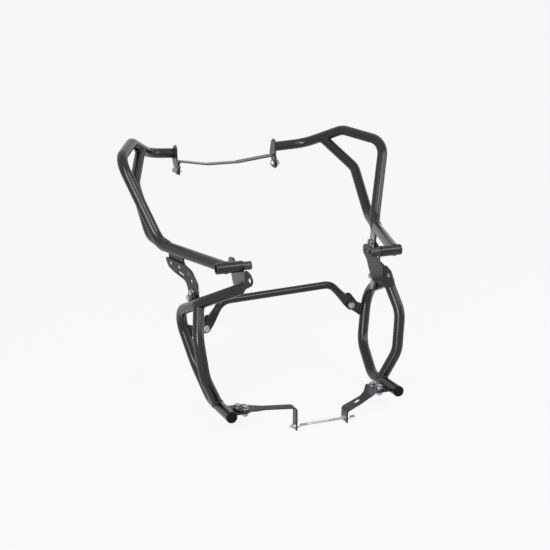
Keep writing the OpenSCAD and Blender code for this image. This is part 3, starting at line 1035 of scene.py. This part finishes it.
@dataclass
class Guard:
    """The tubes, plates and welds of one side."""

    side: Side
    cope_bead: float = 1.8
    sleeve_bead: float = 1.2

    def tubes(self) -> list[BentTube]:
        """The bent tubes of this side, drawn right-handed."""
        upper, lower = UPPER.centreline(1.0), LOWER.centreline(1.0)
        on_upper, on_lower = TubeEnd(End.COPED, upper, TUBE_R), TubeEnd(End.COPED, lower, TUBE_R)
        return [
            BentTube("upper_tube", self.side, UPPER, TubeEnd(End.FLAT_X, at_x=FLANGE_X[self.side] + WELD_GAP),
                     TubeEnd(End.COPED, SLEEVE_AXIS, SLEEVE_R)),
            BentTube("upper_brace", self.side, BRACE, on_upper, on_upper),
            BentTube("lower_tube", self.side, LOWER, TubeEnd(End.FLAT_X, at_x=LINK_FACE_X + WELD_GAP),
                     TubeEnd(End.OPEN)),
            BentTube("lower_rear_tube", self.side, REAR, on_lower, on_lower),
        ]

    def build(self, shop: Workshop) -> None:
        """Makes this side's tubes, welds and plates.

        Args:
            shop: the workshop.
        """
        word = self.side.word
        beads: list[bpy.types.Mesh] = []
        for tube in self.tubes():
            for end, ring in tube.build(shop).items():
                cut = tube.start if end == "start" else tube.finish
                if cut.kind is not End.OPEN:
                    bead = self.sleeve_bead if cut.host is SLEEVE_AXIS else self.cope_bead
                    beads.append(WeldSeam(f"{tube.name}_{end}", ring, True, bead).build(shop))
        beads += [seam.build(shop) for seam in tab_seams(self.side)]
        welds = joined(beads, f"welds_{word}")
        welds.shade_smooth()
        shop.hand_in(welds, f"welds_{word}", Slot.POWDER)
        for part in ("flange_plate", "upper_tab", "stay_bracket", "lower_stay_tab", "link_plate", "cross_tab",
                     "bottom_tab", "bottom_bracket", "mount_sleeve"):
            shop.eased(f"{part}_{word}", Slot.POWDER)
        shop.eased(f"mount_spacer_{word}", Slot.SPACER)
        EndPlug(self.side).build(shop)


@dataclass
class EndPlug:
    """The moulded plug in the open lower end of a guard."""

    side: Side
    head: float = 3.0
    spigot: float = 14.0
    edge: float = 1.2

    def build(self, shop: Workshop) -> None:
        """Makes the plug: a flat head with a rounded rim on a ribbed spigot.

        Args:
            shop: the workshop.
        """
        turns = np.linspace(0, 2 * math.pi, 64, endpoint=False)
        rings = [ring_at(7.5, -self.spigot, turns), ring_at(9.6, -self.spigot + 1.5, turns)]
        for k in range(4):
            z = -self.spigot + 2.5 + 2.6 * k
            rings += [ring_at(9.6, z, turns), ring_at(10.25, z + 0.4, turns), ring_at(10.25, z + 1.2, turns),
                      ring_at(9.6, z + 1.6, turns)]
        rings += [ring_at(10.2, 0.1, turns), ring_at(TUBE_R - 0.2, 0.1, turns), ring_at(TUBE_R, 0.3, turns)]
        for k in range(6):
            a = math.pi / 2 * k / 5
            inset, drop = self.edge * (1 - math.cos(a)), self.edge * (1 - math.sin(a))
            rings.append(ring_at(TUBE_R - inset, self.head - drop, turns))
        rings += [ring_at(8.0, self.head, turns), ring_at(7.6, self.head - 0.25, turns),
                  ring_at(2.0, self.head - 0.3, turns)]
        points, faces = stacked(rings)
        tip = np.array(LOWER.corners[-1], float)
        out = unit(tip - np.array(LOWER.corners[-2], float))
        u = unit(np.cross(out, [0, 0, 1.0]))
        v = np.cross(out, u)
        world = tip + points[:, :1] * u + points[:, 1:2] * v + points[:, 2:] * out
        mesh = mesh_from("end_plug", mirrored(world, self.side), faces)
        smooth(mesh, 30.0)
        node = f"end_plug_{self.side.word}"
        shop.hand_in(mesh, node + "_moulded", Slot.PLUG, node)


# Fasteners


@dataclass(frozen=True)
class Hexagon:
    """A hexagon with chamfered corners, as on bolt heads and nuts."""

    across_flats: float
    height: float

    def radius(self, turns: np.ndarray) -> np.ndarray:
        """The distance from the axis to the flats at each angle."""
        a = np.mod(turns, math.pi / 3) - math.pi / 6
        return self.across_flats / 2 / np.cos(a)

    def chamfer(self, turns: np.ndarray) -> np.ndarray:
        """How far the chamfer cuts down at each angle."""
        return (self.radius(turns) - self.flat_radius) * math.tan(math.radians(30))

    @property
    def flat_radius(self) -> float:
        """The radius of the flat circle inside the chamfer."""
        return self.across_flats / 2 * 0.93


@dataclass(frozen=True)
class HexBolt:
    """A hexagon-head bolt with a rolled thread."""

    size: float
    grip: float
    hexagon: Hexagon
    pitch: float = 1.25
    washer: float = 1.6
    nut: float = 6.5
    plain: float = 7.0
    tapped: bool = False

    def meshes(self) -> list[bpy.types.Mesh]:
        """Makes the head and the shank, standing on the face under the head's washer."""
        turns = np.linspace(0, 2 * math.pi, 48, endpoint=False)
        hexa, base = self.hexagon, self.washer
        rings = [
            ring_at(self.hexagon.flat_radius, base, turns),
            ring_at(hexa.radius(turns) - 0.05, base + 0.12, turns),
            ring_at(hexa.radius(turns), base + 0.25, turns),
            ring_at(hexa.radius(turns), base + hexa.height - hexa.chamfer(turns), turns),
            ring_at(hexa.flat_radius, base + hexa.height, turns),
            ring_at(hexa.flat_radius * 0.82, base + hexa.height - 0.02, turns),
            ring_at(hexa.flat_radius * 0.76, base + hexa.height - 0.2, turns),
        ]
        head = mesh_from("bolt_head", *stacked(rings))
        top = base + 1
        length = top + self.grip + (0.8 if self.tapped else self.washer + self.nut + 2)
        tip = top - length
        shank = threaded("bolt_shank", self.size / 2, self.pitch, tip, top, [(tip, top - self.plain)])
        for mesh in (head, shank):
            smooth(mesh, HEX_CREASE)
        return [head, shank]


def threaded(
    name: str, radius: float, pitch: float, low: float, high: float, spans: Sequence[tuple[float, float]],
    around: int = 20,
) -> bpy.types.Mesh:
    """A round bar with a thread on parts of its length and chamfered ends.

    Args:
        name: the mesh's name.
        radius: the bar's radius.
        pitch: the thread's pitch.
        low: the bar's lower end along Z.
        high: its upper end.
        spans: the threaded lengths.
        around: points round the bar.

    Returns:
        The mesh.
    """
    turns = np.linspace(0, 2 * math.pi, around, endpoint=False)
    levels = {low, high}
    for a, b in spans:
        levels.update(np.arange(a, b, pitch / 6).tolist())
        levels.add(b)
    heights = np.array(sorted(levels))
    heights = heights[np.concatenate([[True], np.diff(heights) > 0.02])]
    rings = []
    for z in heights:
        r = np.full(around, radius)
        if any(a <= z <= b for a, b in spans):
            phase = np.mod(z / pitch - turns / (2 * math.pi), 1.0)
            groove = np.clip(1.25 - np.abs(phase - 0.5) * 2.6, 0, 1)
            r = radius - 0.58 * pitch * groove
        edge = min(z - low, high - z)
        if edge < 0.75 * pitch:
            r = np.minimum(r, radius - 0.62 * pitch + edge * 0.8)
        rings.append(ring_at(r, z, turns))
    return mesh_from(name, *stacked(rings))


@dataclass(frozen=True)
class HexNut:
    """A hexagon nut, chamfered on both faces, with a countersunk bore."""

    bore: float
    hexagon: Hexagon

    def mesh(self) -> bpy.types.Mesh:
        """Makes the nut, standing on Z = 0."""
        turns = np.linspace(0, 2 * math.pi, 48, endpoint=False)
        hexa, h, r = self.hexagon, self.hexagon.height, self.bore / 2
        rings = [
            ring_at(r + 0.55, 0.0, turns), ring_at(hexa.flat_radius, 0.0, turns),
            ring_at(hexa.radius(turns), hexa.chamfer(turns), turns),
            ring_at(hexa.radius(turns), h - hexa.chamfer(turns), turns),
            ring_at(hexa.flat_radius, h, turns), ring_at(r + 0.55, h, turns),
            ring_at(r, h - 0.5, turns), ring_at(r, 0.5, turns),
        ]
        mesh = mesh_from("hex_nut", *stacked(rings, looped=True))
        smooth(mesh, HEX_CREASE)
        return mesh


@dataclass(frozen=True)
class FlatWasher:
    """A stamped washer with one soft and one sharp rim."""

    inner: float
    outer: float
    thick: float

    def mesh(self) -> bpy.types.Mesh:
        """Makes the washer, standing on Z = 0."""
        turns = np.linspace(0, 2 * math.pi, 48, endpoint=False)
        a, b, t = self.inner / 2, self.outer / 2, self.thick
        rings = [
            ring_at(a + 0.1, 0.0, turns), ring_at(b - 0.1, 0.0, turns), ring_at(b, 0.1, turns),
            ring_at(b, t - 0.35, turns), ring_at(b - 0.1, t - 0.12, turns), ring_at(b - 0.35, t, turns),
            ring_at(a + 0.1, t, turns), ring_at(a, t - 0.1, turns), ring_at(a, 0.1, turns),
        ]
        mesh = mesh_from("washer", *stacked(rings, looped=True))
        smooth(mesh, ROUND_CREASE)
        return mesh


@dataclass(frozen=True)
class BoltedJoint:
    """One bolted joint: the face under the head, the way the head faces and the grip."""

    point: tuple[float, float, float]
    way: tuple[float, float, float]
    grip: float
    tapped: bool = False

    @property
    def head_face(self) -> tuple[np.ndarray, np.ndarray]:
        """The point and the direction for the head's washer."""
        return np.array(self.point), np.array(self.way)

    def far_face(self, off: float) -> tuple[np.ndarray, np.ndarray]:
        """The point and the direction on the other side, a distance off its face."""
        point, way = self.head_face
        return point - way * (self.grip + off), -way


def bolted_joints() -> list[BoltedJoint]:
    """Lists every bolted joint of both sides."""
    out: list[BoltedJoint] = []
    for side in Side:
        joints = [
            (np.array([FLANGE_X[side] - FLANGE_T - BRACKET_T, *STRAP_BOLT]), np.array([-1.0, 0, 0]),
             FLANGE_T + BRACKET_T),
            (np.array(CROSS_BOLT[side]) - [0, PADDLE_T / 2, 0], np.array([0, -1.0, 0]), PADDLE_T + TAB_T),
        ]
        holes = [STAY_ORIGIN + STAY_RUN * s + STAY_DOWN * t for s, t in STAY_HOLES]
        joints += [(hole + STAY_OUT * STAY_T, STAY_OUT, STAY_T + TAB_T) for hole in holes[2:]]
        joints += [
            (np.array([x, y, BOTTOM_Z + BRACKET_T]), np.array([0, 0, 1.0]), BRACKET_T + TAB_T)
            for x, y in BOTTOM_BOLTS[side]
        ]
        for point, way, grip in joints:
            out.append(BoltedJoint(tuple(mirrored(point, side)), tuple(mirrored(way, side)), grip))
        for hole in holes[:2]:
            point = mirrored(hole - STAY_OUT * TAB_T, side)
            out.append(BoltedJoint(tuple(point), tuple(mirrored(-STAY_OUT, side)), STAY_T + TAB_T, True))
    return out


@dataclass
class FastenerSet:
    """All bolts, nuts and washers, and the tie rod with its own."""

    hexagon_bolt: Hexagon = Hexagon(13.0, 5.3)
    hexagon_nut: Hexagon = Hexagon(13.0, 6.5)
    rod_hexagon: Hexagon = Hexagon(10.0, 5.0)
    washer: FlatWasher = FlatWasher(8.8, 16.0, 1.6)
    rod_washer: FlatWasher = FlatWasher(6.8, 13.2, 1.2)
    bolt_d: float = 8.0
    rod_d: float = 6.0
    nut_fit: float = 0.2

    def scatter(
        self, shop: Workshop, templates: Sequence[bpy.types.Mesh],
        places: Sequence[tuple[np.ndarray, np.ndarray]], slot: Slot, seed: int,
    ) -> bpy.types.Mesh:
        """Puts a copy of a fastener at each place.

        Args:
            shop: the workshop.
            templates: the fastener's meshes.
            places: a point and a direction for each copy.
            slot: the slot of its finish.
            seed: the seed of the turn of each copy.

        Returns:
            One mesh with all the copies.
        """
        whole = joined(templates, "fastener")
        smooth(whole, HEX_CREASE)
        holder = bpy.data.objects.new("fastener", whole)
        bpy.context.scene.collection.objects.link(holder)
        mesh = bpy.data.meshes.new("places")
        mesh.from_pydata(in_metres([p for p, _ in places]), [], [])
        way = mesh.attributes.new("way", "FLOAT_VECTOR", "POINT")
        way.data.foreach_set("vector", np.array([w for _, w in places], np.float32).ravel())
        done = shop.place_tree.cook(
            mesh, "fasteners", Fastener=holder, Seed=RNG_SEED + seed, Material=shop.finishes.of(slot)
        )
        bpy.data.objects.remove(holder)
        return done

    def build(self, shop: Workshop) -> None:
        """Makes every fastener.

        Args:
            shop: the workshop.
        """
        joints = bolted_joints()
        bolts = []
        for k, (grip, tapped) in enumerate(sorted({(j.grip, j.tapped) for j in joints})):
            places = [j.head_face for j in joints if (j.grip, j.tapped) == (grip, tapped)]
            bolt = HexBolt(self.bolt_d, grip, self.hexagon_bolt, tapped=tapped)
            bolts.append(self.scatter(shop, bolt.meshes(), places, Slot.ZINC, k))
        self.hand_in(shop, bolts, "bolts_hex", "bolts")
        through = [j for j in joints if not j.tapped]
        nuts = [j.far_face(self.washer.thick) for j in through]
        pads = [j.head_face for j in joints] + [j.far_face(0.0) for j in through]
        nut = HexNut(self.bolt_d + self.nut_fit, self.hexagon_nut).mesh()
        self.hand_in(shop, [self.scatter(shop, [nut], nuts, Slot.ZINC, 11)], "nuts_hex", "nuts")
        washers = self.scatter(shop, [self.washer.mesh()], pads, Slot.ZINC, 12)
        self.hand_in(shop, [washers], "washers_flat", "washers")
        self.build_rod(shop)

    def build_rod(self, shop: Workshop) -> None:
        """Makes the tie rod under the engine, with its nuts and washers.

        Args:
            shop: the workshop.
        """
        pads = []
        for side in Side:
            for out in (1, -1):
                x = side.value * LEG_X[side] + out * BRACKET_T / 2
                pads.append((np.array([x, ROD_Y, ROD_Z]), np.array([out, 0.0, 0.0])))
        nuts = [(p + w * self.rod_washer.thick, w) for p, w in pads]
        nut = HexNut(self.rod_d + self.nut_fit, self.rod_hexagon).mesh()
        washers = self.scatter(shop, [self.rod_washer.mesh()], pads, Slot.ZINC, 21)
        self.hand_in(shop, [washers], "rod_washers_flat", "rod_washers")
        self.hand_in(shop, [self.scatter(shop, [nut], nuts, Slot.ZINC, 22)], "rod_nuts_hex", "rod_nuts")
        low, high = ROD_ENDS
        spans = [(low, low + ROD_THREADS[0]), (high - ROD_THREADS[1], high)]
        rod = threaded("tie_rod", self.rod_d / 2, 1.0, low, high, spans, 16)
        rod.transform(Matrix(((0, 0, 1, 0), (0, 1, 0, ROD_Y * MM), (-1, 0, 0, ROD_Z * MM), (0, 0, 0, 1))))
        smooth(rod, ROUND_CREASE)
        shop.hand_in(rod, "tie_rod_threaded", Slot.ROD, "tie_rod")

    @staticmethod
    def hand_in(shop: Workshop, meshes: Sequence[bpy.types.Mesh], name: str, node: str) -> None:
        """Joins meshes and hands them in, zinc-plated, for a CAD node.

        Args:
            shop: the workshop.
            meshes: the meshes.
            name: the piece's name.
            node: the CAD node that it stands for.
        """
        whole = joined(meshes, name)
        smooth(whole, HEX_CREASE)
        shop.hand_in(whole, name, Slot.ZINC, node)


@dataclass
class CrossMembers:
    """What joins the two sides: the front strap and the lower cross tube."""

    def build(self, shop: Workshop) -> None:
        """Dresses both.

        Args:
            shop: the workshop.
        """
        shop.eased("front_strap", Slot.POWDER)
        shop.dress("cross_tube", Slot.POWDER)
        smooth(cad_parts["cross_tube"].data)


# The studio


@dataclass(frozen=True)
class SoftBox:
    """A soft rectangular lamp."""

    name: str
    at: tuple[float, float, float]
    aim: tuple[float, float, float]
    size: tuple[float, float]
    power: float

    def build(self) -> None:
        """Places the lamp."""
        data = bpy.data.lights.new(self.name, "AREA")
        data.shape = "RECTANGLE"
        data.size, data.size_y = self.size
        data.energy = self.power
        obj = bpy.data.objects.new(self.name, data)
        obj.location = self.at
        obj.rotation_euler = (Vector(self.aim) - Vector(self.at)).to_track_quat("-Z", "Y").to_euler()
        bpy.context.scene.collection.objects.link(obj)


class BackdropSheet(NodeSheet):
    """The nodes of the pale surroundings."""

    def __init__(self, tree: bpy.types.NodeTree) -> None:
        """Takes a tree and empties it."""
        super().__init__(tree)
        tree.nodes.clear()

    def seen(self) -> bpy.types.NodeSocket:
        """A socket that is 1 for camera, mirror and glass rays, which see the pale colour, else 0."""
        path = self.add("ShaderNodeLightPath")
        last = path.outputs["Is Camera Ray"]
        for word in ("Is Glossy Ray", "Is Transmission Ray"):
            last = self.math("MAXIMUM", last, path.outputs[word])
        return last


@dataclass
class Studio:
    """The camera at the photograph's angle, soft lamps and a pale floor."""

    camera_at: tuple[float, float, float] = (-0.86127, -2.0215, 0.63005)
    heading: float = 20.973
    dip: float = 16.924
    focal_px: float = 1059.93
    image_px: int = 550
    pale: tuple[float, float, float] = (0.93, 0.945, 0.97)
    ambient: float = 0.25
    floor_z: float = -0.3705
    floor_reach: float = 40.0
    floor_glow: float = 0.925
    lamps: tuple[SoftBox, ...] = (
        SoftBox("key", (-1.6, -1.7, 2.0), (0, 0.2, -0.05), (1.7, 1.7), 36.0),
        SoftBox("tall", (-2.0, -1.75, 0.42), (0, 0.2, 0.1), (0.7, 1.5), 48.0),
        SoftBox("band", (1.1, -2.0, 2.1), (0, 0.2, -0.05), (1.6, 1.0), 34.0),
        SoftBox("side", (2.3, -0.6, 0.6), (0, 0.2, -0.05), (0.5, 1.6), 14.0),
    )

    def place_camera(self) -> None:
        """Sets the camera as fitted to the photograph."""
        a, e = math.radians(self.heading), math.radians(self.dip)
        forward = Vector((math.sin(a) * math.cos(e), math.cos(a) * math.cos(e), -math.sin(e)))
        right = Vector((math.cos(a), -math.sin(a), 0))
        up = right.cross(forward)
        data = bpy.data.cameras.new("camera")
        data.sensor_width = 36.0
        data.sensor_fit = "HORIZONTAL"
        data.lens = self.focal_px / self.image_px * 36.0
        data.shift_x, data.shift_y = -0.5 / self.image_px, 0.5 / self.image_px
        data.clip_start, data.clip_end = 0.05, 200.0
        obj = bpy.data.objects.new("camera", data)
        turn = Matrix((right, up, -forward)).transposed()
        obj.matrix_world = Matrix.Translation(self.camera_at) @ turn.to_4x4()
        bpy.context.scene.collection.objects.link(obj)
        bpy.context.scene.camera = obj

    def paint_world(self) -> None:
        """Gives the world a pale colour to the eye and a plain level of light."""
        world = bpy.data.worlds.new("studio_world")
        world.use_nodes = True
        sheet = BackdropSheet(world.node_tree)
        out = sheet.add("ShaderNodeOutputWorld")
        light = sheet.add("ShaderNodeBackground", Color=(0.95, 0.97, 1.0, 1), Strength=self.ambient)
        seen = sheet.add("ShaderNodeBackground", Color=(*self.pale, 1), Strength=1.0)
        mix = sheet.add("ShaderNodeMixShader")
        sheet.link(sheet.seen(), mix.inputs["Fac"])
        sheet.join(
            (light, "Background", mix, 1), (seen, "Background", mix, 2), (mix, "Shader", out, "Surface")
        )
        bpy.context.scene.world = world

    def lay_floor(self) -> None:
        """Lays the pale floor, which keeps a soft shadow of the object."""
        r = self.floor_reach
        corner_points = [(x, y, self.floor_z) for x, y in ((-r, -r), (r, -r), (r, r), (-r, r))]
        mesh = bpy.data.meshes.new("floor")
        mesh.from_pydata(corner_points, [], [(0, 1, 2, 3)])
        material = bpy.data.materials.new("pale_floor")
        material.use_nodes = True
        sheet = BackdropSheet(material.node_tree)
        out = sheet.add("ShaderNodeOutputMaterial")
        cloth = sheet.add("ShaderNodeBsdfDiffuse", Color=(0.5, 0.51, 0.52, 1))
        glow = sheet.add("ShaderNodeEmission", Color=(0.98, 0.99, 1.0, 1), Strength=1.0)
        eye = sheet.add("ShaderNodeMixShader")
        sheet.link(sheet.math("MULTIPLY", sheet.seen(), self.floor_glow), eye.inputs["Fac"])
        sheet.join((cloth, "BSDF", eye, 1), (glow, "Emission", eye, 2), (eye, "Shader", out, "Surface"))
        mesh.materials.append(material)
        obj = bpy.data.objects.new("floor", mesh)
        bpy.context.scene.collection.objects.link(obj)

    def build(self) -> None:
        """Sets up the studio."""
        self.place_camera()
        self.paint_world()
        self.lay_floor()
        for lamp in self.lamps:
            lamp.build()
        bpy.context.scene.view_settings.view_transform = "Standard"


def corners(box: tuple[Vector, Vector]) -> list[list[float]]:
    """A box as plain lists."""
    return [[float(c) for c in corner] for corner in box]


def main() -> None:
    logging.basicConfig(level=logging.INFO, format="%(name)s: %(message)s")
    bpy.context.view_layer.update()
    shop = Workshop()
    builders: list[Callable[[Workshop], None]] = [
        Guard(Side.RIGHT).build, Guard(Side.LEFT).build, CrossMembers().build, FastenerSet().build,
    ]
    for build in builders:
        build(shop)
    Studio().build()
    bpy.context.view_layer.update()
    LOG.info("%d pieces made", shop.made)


if __name__ == "__main__":
    main()
